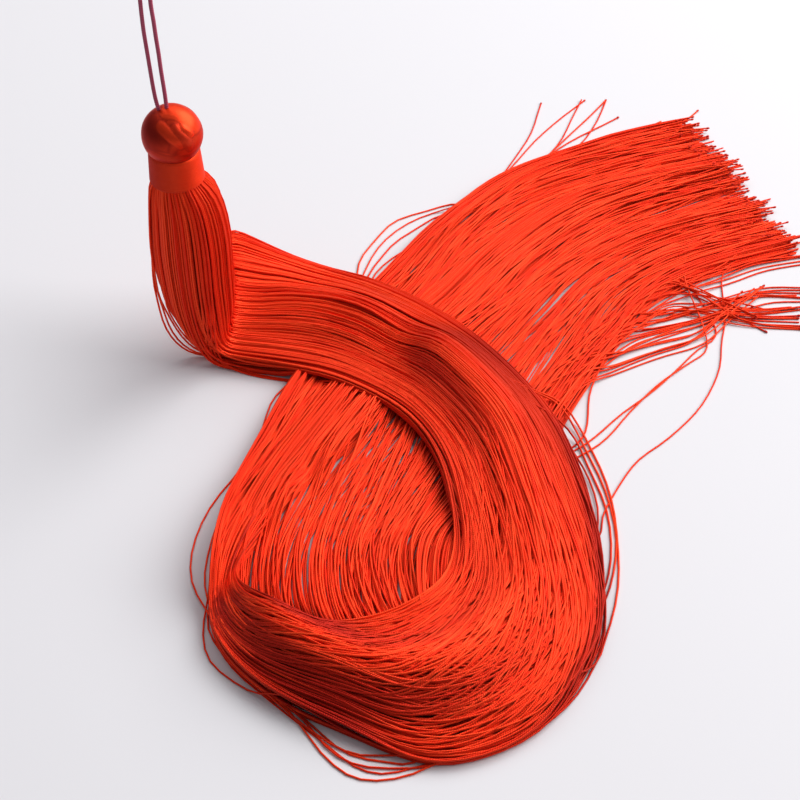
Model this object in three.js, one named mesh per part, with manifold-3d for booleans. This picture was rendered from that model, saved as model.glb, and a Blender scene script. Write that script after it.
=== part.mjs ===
// A silk tassel hung by its loop, with its long skirt lying in a loop on the surface below.
// Millimetres, +Z up, the surface at Z 0. Plan positions are set out from a point in the middle of the
// lying skirt, and the whole is moved at the end so that the origin is under the middle of its box.
import * as THREE from 'three';
import { mergeVertices } from 'three/addons/utils/BufferGeometryUtils.js';
import Module from 'manifold-3d';

const wasm = await Module();
wasm.setup();

// Driving sizes
const FIT = 0.3; // gap between pieces that touch
const AXIS = { x: -71.6, y: 27.6 }; // the upright line through head, neck and hanging skirt
const BALL_R = 9.9;
const BALL_Z = 90.5;
const BALL_FOOT_Z = 84.0; // where the ball sits down on the neck's rim
const NECK_LOW_Z = 72.5;
const NECK_HIGH_Z = BALL_FOOT_Z - FIT;
const NECK_LOW_R = 8.9;
const NECK_HIGH_R = 8.3;
const NECK_BORE_R = 7.3; // inside of the winding, round the gathered strands
const NECK_SOFT = 0.6; // size of its softened top and bottom edges
const NECK_STRAIGHT = 2;
const CORD_D = 1.3;
const CORD_SIDES = 8;
const CORD_STEPS = 46;
const EDGE_H = 1.6; // thickness at the two edges of the lying bundle
const CROWN_POWER = 0.6; // below 0.5 the section is boxy, above 1 it is peaked
const FURROWS = 3; // long locks side by side in the lying bundle
const FURROW_DEPTH = 0.08; // as a share of the bundle's height
const FURROW_SWAY = 1.6; // how far the furrows wander across, and how often along a lay
const FURROW_TURNS = 5;
const UNDERSIDE_POWER = 1.6; // how late the raised underside comes down to the surface
const ROUND_SIDES = 32; // of the ball and the neck
const WELD = 1e-5; // points nearer than this are one point

const COLOURS = {
  cord: { color: 0x8c1f3c, roughness: 0.6 },
  floss: { color: 0xd62414, roughness: 0.35 },
  strands: { color: 0xe02a12, roughness: 0.45 },
};

// Both ends of the loop go into the ball's crown. Points in X and Z, in the upright plane of the axis.
const LOOP_ROUTE = [
  [-74.9, 100.3], [-75.4, 104], [-75.7, 109], [-75.9, 115], [-76.1, 121], [-76.3, 127], [-76.3, 133],
  [-76.2, 138], [-76.3, 142], [-76.9, 146], [-77.0, 149.5], [-75.9, 152.3], [-74.0, 152.9],
  [-72.6, 151.4], [-72.2, 148], [-72.6, 144], [-73.1, 140], [-73.2, 136], [-73.0, 131], [-72.9, 126],
  [-72.7, 120], [-72.6, 114], [-72.4, 108], [-72.3, 104], [-72.3, 100.8],
];

// The hanging stretch: upright round sections, from inside the neck down to where the bend begins.
const HANG = [
  { z: NECK_HIGH_Z, r: NECK_BORE_R - FIT, dx: 0, dy: 0 },
  { z: 72.3, r: NECK_BORE_R - FIT, dx: 0, dy: 0 },
  { z: 71.9, r: 7.7, dx: 0, dy: 0 },
  { z: 70.0, r: 9.0, dx: 0, dy: 0 },
  { z: 66.0, r: 9.9, dx: 0.4, dy: 0 },
  { z: 60.0, r: 11.5, dx: 1.4, dy: 0.3 },
  { z: 52.0, r: 12.9, dx: 2.0, dy: 0.7 },
  { z: 44.0, r: 13.2, dx: 2.2, dy: 1.2 },
];
const BEND_STEPS = 9;
// The corner that each line of the bend is drawn towards, between the column's foot and the lay.
const BEND_CORNER = { out: 1, sideways: 0.3, up: 0.92 };

// The upper lay, from the bend over the return lay, round the right and along the near side.
// A row is one section: its outer and inner edge on the surface, its height over what it lies on, and
// how far its outer edge is held up off the surface where the strands still come down from the bend.
const UPPER = [
  { outer: [-58, 47], inner: [-61, 17], height: 17, rise: 33 },
  { outer: [-37, 54], inner: [-38, 15], height: 14, rise: 13 },
  { outer: [-12, 52], inner: [-22, 10], height: 12.5, rise: 3 },
  { outer: [14, 38], inner: [-4, -2], height: 11, rise: 0 },
  { outer: [35, 16], inner: [6, -14], height: 10, rise: 0 },
  { outer: [51, -12], inner: [13, -31], height: 9.5, rise: 0 },
  { outer: [60, -44], inner: [17, -50], height: 9, rise: 0 },
  { outer: [62, -74], inner: [17, -68], height: 9, rise: 0 },
  { outer: [56, -103], inner: [13, -80], height: 8.5, rise: 0 },
  { outer: [37, -129], inner: [3, -89], height: 8, rise: 0 },
  { outer: [10, -144], inner: [-10, -95], height: 8, rise: 0 },
  { outer: [-17, -133], inner: [-24, -96], height: 7.5, rise: 0 },
  { outer: [-42, -119], inner: [-36, -91], height: 5.5, rise: 0 },
  { outer: [-54, -100], inner: [-44, -82], height: 2, rise: 0 },
];

// The return lay: back up the left, under the upper lay, and out to the loose end.
const RETURN = [
  { outer: [-8, -128], inner: [-6, -102], height: 0.8, rise: 0 },
  { outer: [-40, -115], inner: [2, -94], height: 2.5, rise: 0 },
  { outer: [-55, -92], inner: [13, -84], height: 5.5, rise: 0 },
  { outer: [-56, -68], inner: [24, -68], height: 6.5, rise: 0 },
  { outer: [-52, -44], inner: [36, -52], height: 6.5, rise: 0 },
  { outer: [-46, -20], inner: [48, -34], height: 6.5, rise: 0 },
  { outer: [-36, 10], inner: [58, -12], height: 6, rise: 0 },
  { outer: [-22, 40], inner: [70, 6], height: 5.5, rise: 0 },
  { outer: [-7, 64], inner: [84, 22], height: 5, rise: 0 },
  { outer: [12, 94], inner: [100, 39], height: 4.5, rise: 0 },
  { outer: [43, 126], inner: [119, 58], height: 4, rise: 0 },
  { outer: [78, 143], inner: [133, 75], height: 3.5, rise: 0 },
];

// The loose end: locks side by side, each from a place across the last sections to its own tip.
const LOCKS = [
  { from: 0.03, base: 7, tip: [86, 172], width: 7 },
  { from: 0.1, base: 9, tip: [122, 160], width: 9 },
  { from: 0.22, base: 10, tip: [131, 151], width: 9 },
  { from: 0.34, base: 10, tip: [138, 141], width: 9 },
  { from: 0.46, base: 10, tip: [143, 130], width: 9 },
  { from: 0.58, base: 10, tip: [147, 119], width: 9 },
  { from: 0.7, base: 9, tip: [150, 107], width: 8 },
  { from: 0.82, base: 8, tip: [152, 96], width: 8 },
  { from: 0.93, base: 7, tip: [152, 84], width: 7 },
];
const LOCK_H = 2.6;
const LOCK_ROOT = 0.88; // how far along the return lay the locks come apart
const LOCK_SUNK = 0.08; // how much further back each lock begins, inside the lay
const LOCK_TAPER = 0.45; // share of its height that a lock loses by its tip
const LOCK_STEPS = 5;
const UPPER_STEPS = 40;
const RETURN_STEPS = 30;

// One edge of a lay as a smooth line through its rows, in plan, with one of the row's heights as its Z.
function edgeLine(rows, edge, height) {
  const points = rows.map((row) => new THREE.Vector3(row[edge][0], row[edge][1], row[height]));
  return new THREE.CatmullRomCurve3(points, false, 'centripetal');
}

// A lay: the section at a share along it, with its two edges, its height and its outer edge's rise.
function makeLay(rows) {
  const outer = edgeLine(rows, 'outer', 'height');
  const inner = edgeLine(rows, 'inner', 'rise');
  return (share) => {
    const a = outer.getPoint(share);
    const b = inner.getPoint(share);
    return {
      outer: new THREE.Vector2(a.x, a.y),
      inner: new THREE.Vector2(b.x, b.y),
      height: a.z,
      rise: Math.max(0, b.z),
    };
  };
}

const upperLay = makeLay(UPPER);
const returnLay = makeLay(RETURN);

// The rounded, furrowed top of a section: 0 at the bottom, 1 at full height. Across runs from -1 to 1.
function crown(across, share) {
  const round = Math.pow(Math.max(0, 1 - across * across), CROWN_POWER);
  const sway = FURROW_SWAY * Math.sin(FURROW_TURNS * share);
  const furrow = Math.cos(Math.PI * (FURROWS * across + sway));
  return round * (1 - FURROW_DEPTH + FURROW_DEPTH * furrow);
}

// Height of the return lay's top at a plan position, or 0 beside it.
const PROBES = 90;
const PROBE_REACH = 3; // a section further along than this doesn't carry the point
const probeSections = Array.from({ length: PROBES + 1 }, (_, i) => {
  const share = i / PROBES;
  return { share, ...returnLay(share) };
});
function returnTop(x, y) {
  let best = null;
  for (const section of probeSections) {
    const slat = section.inner.clone().sub(section.outer);
    const at = new THREE.Vector2(x, y).sub(section.outer);
    const along = at.dot(slat) / slat.lengthSq();
    const off = Math.abs(at.cross(slat)) / slat.length();
    if (along > 0 && along < 1 && (!best || off < best.off)) {
      best = { off, across: 2 * along - 1, share: section.share, height: section.height };
    }
  }
  if (!best || best.off > PROBE_REACH) {
    return 0;
  }
  return best.height * crown(best.across, best.share);
}

// A closed skin over rings of equal point counts, with flat ends.
function loft(rings) {
  const count = rings[0].length;
  const positions = rings.flat().flatMap((p) => [p.x, p.y, p.z]);
  const index = [];
  for (let r = 0; r < rings.length - 1; r += 1) {
    for (let i = 0; i < count; i += 1) {
      const j = (i + 1) % count;
      const a = r * count + i;
      const b = r * count + j;
      const c = (r + 1) * count + j;
      const d = (r + 1) * count + i;
      index.push(a, b, c, a, c, d);
    }
  }
  const last = (rings.length - 1) * count;
  for (let i = 1; i < count - 1; i += 1) {
    index.push(0, i + 1, i);
    index.push(last, last + i, last + i + 1);
  }
  const geometry = new THREE.BufferGeometry();
  geometry.setAttribute('position', new THREE.Float32BufferAttribute(positions, 3));
  geometry.setIndex(index);
  return geometry;
}

// Angles round a section. Sine runs across from outer to inner, cosine is up on the top side.
const RING = 24;
const ringAngles = Array.from({ length: RING }, (_, i) => (2 * Math.PI * (i + 0.5)) / RING);

// One section of a lay as a ring: a crowned top over an underside that is flat on the surface, or
// slopes up to the outer edge where that is held up.
function layRing(section, share, footing) {
  const edge = Math.min(EDGE_H, section.height / 2);
  return ringAngles.map((angle) => {
    const across = Math.sin(angle);
    const plan = section.outer.clone().lerp(section.inner, (across + 1) / 2);
    const under = section.rise * Math.pow((1 - across) / 2, UNDERSIDE_POWER);
    if (Math.cos(angle) < 0) {
      return new THREE.Vector3(plan.x, plan.y, under);
    }
    const top = edge + (section.height - edge) * crown(across, share);
    return new THREE.Vector3(plan.x, plan.y, under + top + footing(plan.x, plan.y));
  });
}

function layRings(lay, steps, footing) {
  return Array.from({ length: steps + 1 }, (_, i) => layRing(lay(i / steps), i / steps, footing));
}

// The hanging skirt and its bend: each point of the round column swings over to its place in the lay.
function hangRings() {
  const bendTo = layRing(upperLay(0), 0, () => 0);
  const column = HANG.map((row) =>
    ringAngles.map(
      (angle) =>
        new THREE.Vector3(
          AXIS.x + row.dx + row.r * Math.cos(angle),
          AXIS.y + row.dy - row.r * Math.sin(angle),
          row.z,
        ),
    ),
  );
  const foot = column[column.length - 1];
  const bend = [];
  for (let step = 1; step <= BEND_STEPS; step += 1) {
    const ring = foot.map((start, i) => {
      const end = bendTo[i];
      const corner = new THREE.Vector3(
        start.x + BEND_CORNER.out,
        THREE.MathUtils.lerp(start.y, end.y, BEND_CORNER.sideways),
        end.z * BEND_CORNER.up,
      );
      return new THREE.QuadraticBezierCurve3(start, corner, end).getPoint(step / BEND_STEPS);
    });
    bend.push(ring);
  }
  return [...column, ...bend];
}

// A lock of strands: a tapering, slightly curved finger lying on the surface.
function lockRings(lock) {
  const rootSection = returnLay(LOCK_ROOT);
  const deepSection = returnLay(LOCK_ROOT - LOCK_SUNK);
  const root = rootSection.outer.clone().lerp(rootSection.inner, lock.from);
  const deep = deepSection.outer.clone().lerp(deepSection.inner, lock.from);
  const tip = new THREE.Vector2(...lock.tip);
  const line = new THREE.QuadraticBezierCurve(deep, root, tip);
  return Array.from({ length: LOCK_STEPS + 1 }, (_, step) => {
    const share = step / LOCK_STEPS;
    const at = line.getPoint(share);
    const way = line.getTangent(share);
    const half = THREE.MathUtils.lerp(lock.base, lock.width, share) / 2;
    const height = LOCK_H * (1 - LOCK_TAPER * share);
    const across = new THREE.Vector2(way.y, -way.x).multiplyScalar(half);
    return ringAngles
      .filter((_angle, i) => i % 2 === 0)
      .map((angle) => {
        const plan = at.clone().addScaledVector(across, Math.sin(angle));
        const top = Math.cos(angle) < 0 ? 0 : (height * (1 + Math.cos(angle))) / 2;
        return new THREE.Vector3(plan.x, plan.y, top);
      });
  });
}

// A closed mesh as a solid that can be joined, and back.
function solidOf(geometry) {
  const bare = geometry.clone();
  bare.deleteAttribute('normal');
  bare.deleteAttribute('uv');
  const merged = mergeVertices(bare, WELD);
  const mesh = new wasm.Mesh({
    numProp: 3,
    vertProperties: new Float32Array(merged.attributes.position.array),
    triVerts: new Uint32Array(merged.index.array),
  });
  return new wasm.Manifold(mesh);
}

function geometryOf(solid) {
  const mesh = solid.getMesh();
  const geometry = new THREE.BufferGeometry();
  geometry.setAttribute('position', new THREE.BufferAttribute(new Float32Array(mesh.vertProperties), 3));
  geometry.setIndex(new THREE.BufferAttribute(new Uint32Array(mesh.triVerts), 1));
  return geometry;
}

function makeSkirt() {
  const parts = [
    loft(hangRings()),
    loft(layRings(upperLay, UPPER_STEPS, returnTop)),
    loft(layRings(returnLay, RETURN_STEPS, () => 0)),
    ...LOCKS.map((lock) => loft(lockRings(lock))),
  ];
  return geometryOf(parts.map(solidOf).reduce((whole, part) => whole.add(part)));
}

// A ball with a flat foot, about its own middle.
function makeBall() {
  const steps = 14;
  const footAngle = Math.acos((BALL_Z - BALL_FOOT_Z) / BALL_R);
  const profile = [new THREE.Vector2(0, BALL_FOOT_Z - BALL_Z)];
  for (let i = 0; i < steps; i += 1) {
    const angle = footAngle + ((Math.PI - footAngle) * i) / steps;
    profile.push(new THREE.Vector2(BALL_R * Math.sin(angle), -BALL_R * Math.cos(angle)));
  }
  profile.push(new THREE.Vector2(0, BALL_R));
  return new THREE.LatheGeometry(profile, ROUND_SIDES);
}

// The collar's wall as a ring: straight for its lowest turns, then tapering up to the ball.
function makeNeck() {
  const outline = [
    [NECK_BORE_R, NECK_LOW_Z],
    [NECK_LOW_R - NECK_SOFT, NECK_LOW_Z],
    [NECK_LOW_R, NECK_LOW_Z + NECK_SOFT],
    [NECK_LOW_R, NECK_LOW_Z + NECK_STRAIGHT],
    [NECK_HIGH_R, NECK_HIGH_Z - NECK_SOFT],
    [NECK_HIGH_R - NECK_SOFT, NECK_HIGH_Z],
    [NECK_BORE_R, NECK_HIGH_Z],
    [NECK_BORE_R, NECK_LOW_Z],
  ];
  return new THREE.LatheGeometry(outline.map(([r, z]) => new THREE.Vector2(r, z)), ROUND_SIDES);
}

// A round section swept along a smooth open line.
function makeCord() {
  const points = LOOP_ROUTE.map(([x, z]) => new THREE.Vector3(x, AXIS.y, z));
  const line = new THREE.CatmullRomCurve3(points, false, 'centripetal');
  const section = new THREE.Shape();
  for (let i = 0; i < CORD_SIDES; i += 1) {
    const angle = (2 * Math.PI * i) / CORD_SIDES;
    const x = (CORD_D / 2) * Math.cos(angle);
    const y = (CORD_D / 2) * Math.sin(angle);
    if (i === 0) {
      section.moveTo(x, y);
    } else {
      section.lineTo(x, y);
    }
  }
  section.closePath();
  return new THREE.ExtrudeGeometry(section, { steps: CORD_STEPS, bevelEnabled: false, extrudePath: line });
}

function piece(name, geometry, look) {
  const mesh = new THREE.Mesh(geometry, new THREE.MeshStandardMaterial({ ...look, metalness: 0 }));
  mesh.name = name;
  return mesh;
}

// Lathe shapes turn round Y, so they are stood up on the tassel's axis.
function standUp(mesh, z) {
  mesh.rotation.x = Math.PI / 2;
  mesh.position.set(AXIS.x, AXIS.y, z);
  return mesh;
}

const tassel = new THREE.Group();
const skirt = piece('skirt', makeSkirt(), COLOURS.strands);
tassel.add(skirt);
tassel.add(standUp(piece('neck_binding', makeNeck(), COLOURS.floss), 0));
tassel.add(standUp(piece('head_ball', makeBall(), COLOURS.floss), BALL_Z));
tassel.add(piece('hanging_loop', makeCord(), COLOURS.cord));

// The origin goes under the middle of the skirt's box, which is the object's own box in plan.
skirt.geometry.computeBoundingBox();
const middle = skirt.geometry.boundingBox.getCenter(new THREE.Vector3());
tassel.position.set(-middle.x, -middle.y, 0);

export default tassel;
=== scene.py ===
import math

import bpy
import numpy as np
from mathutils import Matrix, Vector


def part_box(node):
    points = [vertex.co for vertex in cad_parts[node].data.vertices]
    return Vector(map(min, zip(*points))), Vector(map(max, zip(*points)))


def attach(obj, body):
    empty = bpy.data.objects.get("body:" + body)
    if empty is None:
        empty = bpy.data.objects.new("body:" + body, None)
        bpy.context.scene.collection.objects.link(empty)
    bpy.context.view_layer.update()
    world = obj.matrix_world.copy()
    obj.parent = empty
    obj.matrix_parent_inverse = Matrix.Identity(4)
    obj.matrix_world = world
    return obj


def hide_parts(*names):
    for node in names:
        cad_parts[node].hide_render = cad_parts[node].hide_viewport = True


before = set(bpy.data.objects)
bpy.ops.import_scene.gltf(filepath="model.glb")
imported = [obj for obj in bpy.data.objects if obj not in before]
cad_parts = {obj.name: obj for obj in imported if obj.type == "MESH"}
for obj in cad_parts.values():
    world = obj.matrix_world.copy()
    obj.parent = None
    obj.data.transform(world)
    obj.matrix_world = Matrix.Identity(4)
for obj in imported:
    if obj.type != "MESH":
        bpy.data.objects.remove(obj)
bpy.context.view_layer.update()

# A silk tassel held up by its loop. Its head hangs over a pale surface, and its long skirt bends where
# it meets the surface, runs round in a flat loop that crosses over itself, and ends in loose cut tips.
# Sizes are millimetres in the maker's plan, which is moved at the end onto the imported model.
MM = 0.001
SEED = 7

# ------------------------------------------------------------------ sizes
AXIS = np.array([-71.6, 27.6])  # the upright line through head, neck and hanging strands
BALL_R = 9.9
BALL_Z = 90.5
NECK_LOW_Z = 72.5
NECK_HIGH_Z = 83.7
NECK_LOW_R = 8.9
NECK_HIGH_R = 8.3
CORD_D = 1.3
STRAND_R = 0.31

STRANDS = 600
UNDER_SHARE = 0.53  # of the strands run in the lower layers, and turn back inside the others
# How far each set of strands has rolled over by each of these rows, in degrees.
TWIST_ROWS = [0, 4.5, 6, 7.5, 9, 10.5, 12, 13.5, 16.5]
TWIST = {
    "under": [0, 0, 5, 15, 27, 35, 40, 46, 60],
    "over": [0, 0, 5, 22, 50, 80, 104, 116, 122],
}
# How evenly its strands are spread by then: 0 where they bunch as the roll leaves them, 1 where they don't.
EVENNESS = [0, 0, 0.35, 0.65, 0.75, 0.75, 0.70, 0.70, 0.75]
STRAND_RINGS = 122
STRAND_SIDES = 5
STRANDS_A_PIECE = 100

# The loop's two ends go into the ball's crown. Points in X and Z, in the upright plane of the axis.
LOOP_ROUTE = [
    (-74.9, 100.3), (-75.4, 104), (-75.7, 109), (-75.9, 115), (-76.1, 121), (-76.3, 127), (-76.3, 133),
    (-76.2, 138), (-76.3, 142), (-76.9, 146), (-77.0, 149.5), (-75.9, 152.3), (-74.0, 152.9),
    (-72.6, 151.4), (-72.2, 148), (-72.6, 144), (-73.1, 140), (-73.2, 136), (-73.0, 131), (-72.9, 126),
    (-72.7, 120), (-72.6, 114), (-72.4, 108), (-72.3, 104), (-72.3, 100.8),
]

# The hanging stretch: height, radius, and how far its middle is off the axis in X and Y.
HANG = [
    (82.5, 6.9, 0.0, 0.0),
    (74.0, 7.2, 0.0, 0.0),
    (72.6, 8.8, 0.4, 0.3),
    (70.5, 10.3, 0.9, 0.7),
    (65.0, 11.5, 1.7, 1.1),
    (56.0, 12.7, 2.0, 1.4),
    (46.0, 13.2, 2.0, 1.5),
    (36.0, 12.8, 2.0, 1.2),
]

# A row is one section of the lying bundle: outer edge x y, inner edge x y, then how far the outer edge
# is held up where the strands still come down from the bend, and how far strands stray sideways.
LEG_ROWS = [
    (-58, 47, -61, 15, 33, 0.2),
    (-37, 56, -39, 10, 14, 0.3),
    (-12, 54, -22, 4, 4.5, 0.4),
    (14, 40, -5, -7, 0, 0.5),
    (35, 16, 5, -18, 0, 0.6),
    (51, -12, 12, -33, 0, 0.7),
    (60, -44, 16, -51, 0, 0.7),
]
TURN_OVER_ROWS = [
    (63, -76, 17, -67, 0, 0.6),
    (59, -106, 14, -80, 0, 0.6),
    (41, -133, 5, -89, 0, 0.6),
    (12, -145, -9, -95, 0, 0.6),
    (-17, -134, -26, -97, 0, 0.6),
    (-42, -119, -41, -94, 0, 0.6),
    (-56, -99, -49, -84, 0, 0.5),
]
TURN_UNDER_ROWS = [
    (61, -76, 21, -71, 0, 0.6),
    (55, -103, 25, -86, 0, 0.4),
    (33, -129, 25, -95, 0, 0.3),
    (-8, -132, 22, -97, 0, 0.3),
    (-36, -119, 19, -91, 0, 0.5),
    (-50, -96, 19, -79, 0, 0.5),
]
RETURN_ROWS = [
    (-56, -70, 22, -62, 0, 0.5),
    (-52, -44, 34, -48, 0, 0.7),
    (-46, -20, 47, -31, 0, 0.9),
    (-36, 10, 57, -9, 0, 1.0),
    (-22, 40, 68, 12, 0, 1.1),
    (-7, 64, 79, 31, 0, 1.2),
    (12, 94, 91, 48, 0, 1.2),
    (43, 127, 108, 60, 0, 1.3),
    (81, 147, 128, 69, 0, 1.5),
    (117, 159, 150, 77, 0, 1.8),
]
# The share of each return section, from its outer edge, that the strands of the upper set reach.
OVER_SHARE = [0.13, 0.21, 0.32, 0.40, 0.46, 0.50, 0.50, 0.50, 0.50, 0.50]
# The same for where the strands of the lower set begin.
UNDER_SHARE_FROM = [0.05, 0.06, 0.09, 0.15, 0.22, 0.26, 0.28, 0.29, 0.29, 0.29]
TURN_END = 12.8  # the row where the turn ends and the return begins

# Strands too long for the bend, which hang below it in loops: points in X, Y and Z.
HANGING_LOOPS = [
    [(-83.0, 24.5, 40.0), (-83.4, 24.0, 32.0), (-82.6, 23.0, 23.5), (-81.8, 22.5, 16.0), (-80.0, 22.4, 9.4),
     (-77.0, 22.3, 4.3), (-73.5, 22.2, 1.3), (-68.0, 21.5, 0.4), (-60.0, 20.3, 0.3), (-50.0, 18.3, 0.3)],
    [(-82.9, 24.0, 31.0), (-81.9, 23.4, 25.0), (-80.9, 22.6, 20.0), (-79.8, 22.0, 14.0), (-77.6, 21.8, 8.4),
     (-75.0, 21.8, 4.4), (-71.0, 21.6, 1.6), (-65.0, 21.0, 0.6), (-55.0, 19.5, 0.3)],
    [(-82.0, 22.0, 28.0), (-80.0, 21.3, 22.0), (-77.6, 20.8, 15.0), (-74.6, 20.6, 8.5), (-70.5, 20.4, 4.0),
     (-64.0, 19.8, 1.6), (-54.0, 18.8, 0.6)],
    [(-79.5, 20.5, 24.0), (-77.0, 20.0, 17.0), (-74.0, 19.8, 10.5), (-70.0, 19.7, 5.6), (-64.0, 19.4, 2.6),
     (-54.0, 18.4, 1.0)],
    [(-76.0, 19.0, 19.0), (-73.0, 18.8, 12.0), (-69.0, 18.7, 7.0), (-63.0, 18.5, 3.5), (-54.0, 18.0, 1.6)],
    [(-64.0, 15.4, 22.0), (-64.6, 15.6, 14.0), (-64.4, 16.4, 7.0), (-62.0, 15.6, 2.2), (-55.6, 13.4, 0.5),
     (-48.2, 10.8, 0.3), (-41.2, 9.4, 0.3), (-35.2, 8.0, 0.5), (-24.0, 3.4, 3.0)],
    [(-63.0, 15.2, 20.0), (-63.4, 15.6, 12.0), (-62.8, 16.0, 5.0), (-59.0, 14.8, 1.2), (-52.0, 12.0, 0.4),
     (-44.0, 10.0, 0.3), (-36.0, 8.8, 0.6), (-26.0, 5.0, 3.0)],
    [(-65.5, 15.6, 18.0), (-65.8, 16.0, 10.0), (-64.0, 16.6, 3.6), (-59.0, 15.6, 0.8), (-51.0, 12.6, 0.4),
     (-43.0, 10.6, 0.3), (-34.0, 8.2, 0.8)],
    [(-66.8, 15.8, 16.0), (-66.2, 17.0, 7.0), (-62.0, 18.6, 2.0), (-56.0, 18.0, 0.6), (-46.0, 15.2, 0.4)],
]
LOOSE_COPIES = 7  # strands that go each loose way along the inner edge of the end
# Strands that leave the bundle, by their set and the edge they come from (-1 outer, 1 inner): the rows
# between which they are away from it (None: to the tip), and the points they pass.
STRAYS = {
    ("over", -1): [
        (12.7, 16.4, [(-56, -95), (-63, -82), (-65, -72), (-64, -60), (-60, -47), (-54, -36), (-48, -24)]),
        (12.9, 15.9, [(-57, -91), (-60, -80), (-60, -70), (-58, -56), (-54, -45)]),
        (11.6, 14.5, [(-41, -121), (-51, -114), (-57, -107), (-59, -96), (-58, -86)]),
        (12.5, 14.4, [(-53, -105), (-57, -99), (-58, -91), (-57, -82)]),
        (12.9, 14.9, [(-57, -87), (-58, -77), (-57, -67)]),
        (14.5, 17.2, [(-53, -63), (-51, -48), (-48, -30), (-46, -13), (-42, 3)]),
        (14.8, 17.3, [(-50, -51), (-47, -33), (-43, -15), (-40, 2)]),
        (9.7, 12.1, [(8, -145), (0, -148), (-8, -149), (-15, -147), (-23, -139), (-29, -130)]),
        (9.8, 12.0, [(7, -145), (0, -145), (-7, -145), (-15, -143), (-22, -137), (-27, -130)]),
        (9.9, 11.9, [(4, -144), (-3, -143), (-10, -142), (-17, -139), (-24, -132)]),
        (9.9, 12.2, [(3, -145), (-4, -147), (-12, -145), (-20, -138), (-28, -131), (-36, -124)]),
        (10.2, 12.3, [(-5, -141), (-12, -141), (-20, -137), (-29, -130), (-37, -123)]),
        (4.3, 9.1, [(55, -5), (64, -26), (68, -46), (68, -69), (66, -85), (61, -101), (55, -113)]),
        (4.4, 8.9, [(54, -6), (63, -29), (67, -46), (68, -63), (65, -79), (60, -93), (56, -104)]),
        (4.6, 8.3, [(56, -16), (62, -33), (66, -50), (66, -67), (63, -81), (58, -94)]),
        (5.0, 7.4, [(59, -30), (62, -40), (63, -54)]),
        (17.7, 20.4, [(-16, 64), (-15, 74), (-9, 86), (-2, 97), (10, 103), (22, 108)]),
        (17.8, 20.3, [(-14, 64), (-10, 77), (-4, 88), (6, 98), (18, 104)]),
        (17.9, 20.2, [(-12, 64), (-7, 75), (-2, 84), (6, 92), (16, 101)]),
        (18.0, 19.8, [(-10, 64), (-6, 71), (-1, 77), (5, 81)]),
        (20.6, None, [(48, 141), (54, 155), (57, 167), (59, 175)]),
        (20.5, None, [(48, 137), (55, 149), (66, 164), (77, 177)]),
        (20.9, None, [(59, 138), (66, 150), (71, 164), (76, 177)]),
        (20.9, None, [(60, 139), (68, 151), (78, 165), (86, 177)]),
        (21.2, None, [(70, 143), (76, 151), (82, 164), (86, 176)]),
        (20.8, None, [(61, 140), (71, 150), (80, 157), (90, 165)]),
        (21.3, None, [(81, 145), (96, 154), (107, 162)]),
        (22.0, None, [(107, 157), (117, 162), (124, 170)]),
    ],
    ("under", 1): [
        (13.6, 20.6, [(60, -63), (65, -51), (77, -30), (89, -19), (102, -4), (111, 14), (114, 29),
                      (117, 41)]),
        (14.3, 20.2, [(58, -24), (75, -7), (86, 3), (96, 14), (105, 25), (113, 35)]),
        (14.2, 20.0, [(63, -24), (78, -6), (89, 7), (101, 18), (109, 28)]),
        (14.8, 17.6, [(60, -20), (65, 3), (70, 15), (75, 28)]),
        (15.6, None, [(61, 7), (72, 14), (89, 23), (105, 30), (116, 42), (129, 56)]),
        (16.2, None, [(77, 26), (90, 33), (107, 39), (116, 43), (130, 44), (143, 46)]),
        (16.4, None, [(81, 33), (96, 40), (108, 45), (119, 50), (131, 55), (146, 55)]),
        (17.0, None, [(89, 46), (103, 55), (119, 63), (131, 70), (149, 75)]),
        (16.8, None, [(91, 41), (105, 44), (114, 43), (126, 41), (143, 41)]),
        (17.6, None, [(95, 56), (104, 56), (112, 52), (119, 47), (127, 41)]),
    ],
}


# ------------------------------------------------------------------ lines
def smooth_line(points, at):
    """A smooth line through points, one unit of at for each point, carried on straight past its end."""
    points = np.asarray(points, float)
    last = len(points) - 1
    padded = np.vstack([2 * points[0] - points[1], points, 2 * points[-1] - points[-2]])
    at = np.asarray(at, float)
    inside = np.clip(at, 0, last)
    i = np.minimum(inside.astype(int), last - 1)
    f = (inside - i)[:, None]
    a, b, c, d = (padded[i + k] for k in range(4))
    line = 0.5 * (
        2 * b
        + (c - a) * f
        + (2 * a - 5 * b + 4 * c - d) * f**2
        + (3 * b - a - 3 * c + d) * f**3
    )
    way = 0.5 * (points[-1] - points[-2])
    return line + np.maximum(at - last, 0)[:, None] * 2 * way


def spaced(points, step=None, count=None):
    """The same line with its points evenly spaced along it."""
    length = np.concatenate([[0], np.cumsum(np.linalg.norm(np.diff(points, axis=0), axis=1))])
    if count is None:
        count = max(4, int(length[-1] / step) + 1)
    at = np.linspace(0, length[-1], count)
    return np.stack([np.interp(at, length, points[:, k]) for k in range(points.shape[1])], axis=1)


RING_CROWDING = 14  # how much closer rings come for each 1/mm of bend
SHARPEST_BEND = 0.2  # 1/mm, beyond which they come no closer


def ringed(points, count):
    """The same line in count points, closer together where it bends."""
    way = np.gradient(points, axis=0)
    step = np.linalg.norm(way, axis=1)
    way /= step[:, None]
    bend = np.linalg.norm(np.gradient(way, axis=0), axis=1) / step
    weight = softened(1 + RING_CROWDING * np.minimum(bend, SHARPEST_BEND), 4)
    run = np.concatenate([[0], np.cumsum(0.5 * (weight[1:] + weight[:-1]) * step[1:])])
    at = np.linspace(0, run[-1], count)
    return np.stack([np.interp(at, run, points[:, k]) for k in range(3)], axis=1)


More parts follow.
